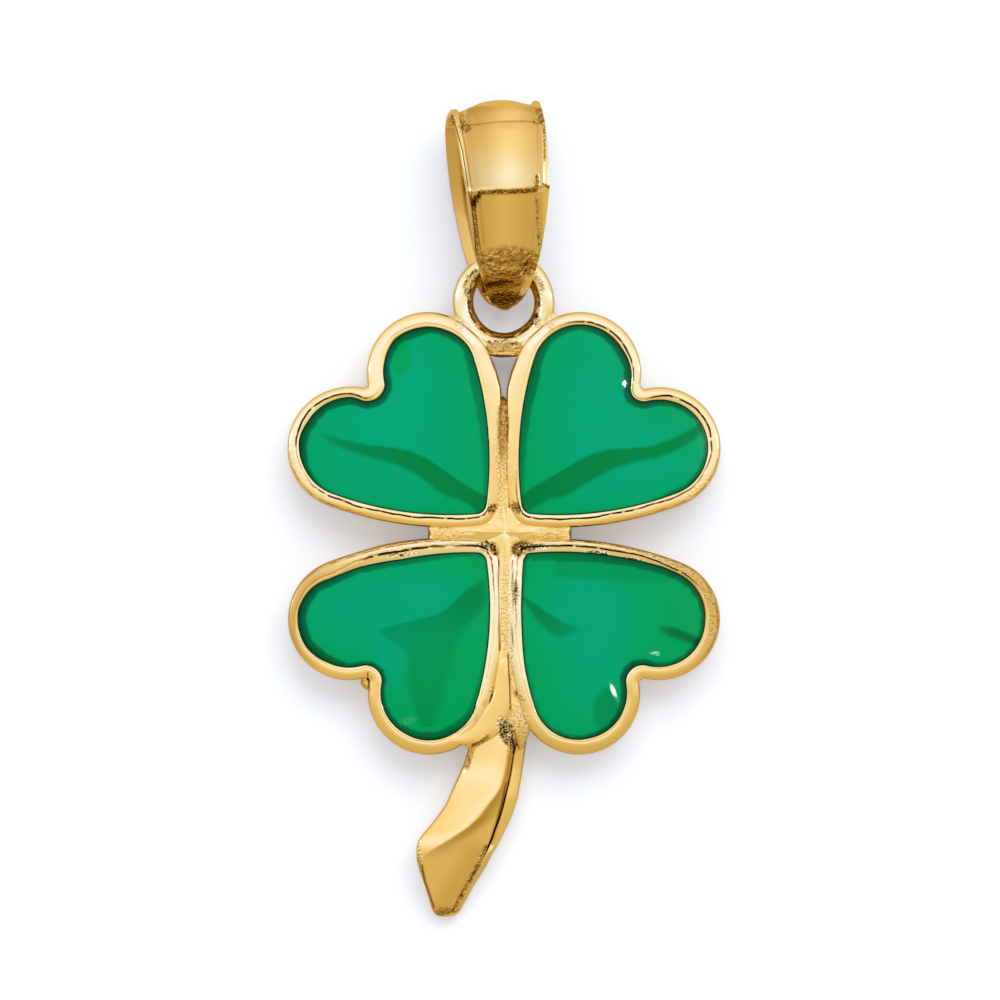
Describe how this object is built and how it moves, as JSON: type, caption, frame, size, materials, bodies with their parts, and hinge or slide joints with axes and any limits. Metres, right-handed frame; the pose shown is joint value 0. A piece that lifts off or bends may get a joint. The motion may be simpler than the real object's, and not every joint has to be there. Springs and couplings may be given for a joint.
{
  "type": "four leaf clover pendant",
  "caption": "Cast gold clover pendant with heart-shaped leaves of domed green enamel, a curved twisted stem, a soldered ring and a tapered bail for a chain.",
  "frame": {"origin": "middle of the clover, where the four leaves meet, on its flat back", "axes": "+Y from the stem up to the bail, +X to the right as seen from the front, +Z out of the enamelled front"},
  "size_m": [0.0112, 0.021, 0.0029],
  "materials": {
    "frame_gold": "polished cast 14k yellow gold, left rough in the corners beside the web",
    "bail_gold": "polished cast 14k yellow gold, rough in its grooves and at its solder",
    "enamel": "glossy domed green enamel with darker wavy bands"
  },
  "bodies": {
    "root": {"clover_frame": "frame_gold", "enamel_upper_left": "enamel", "enamel_upper_right": "enamel", "enamel_lower_left": "enamel", "enamel_lower_right": "enamel", "bail": "bail_gold"}
  },
  "joints": []
}
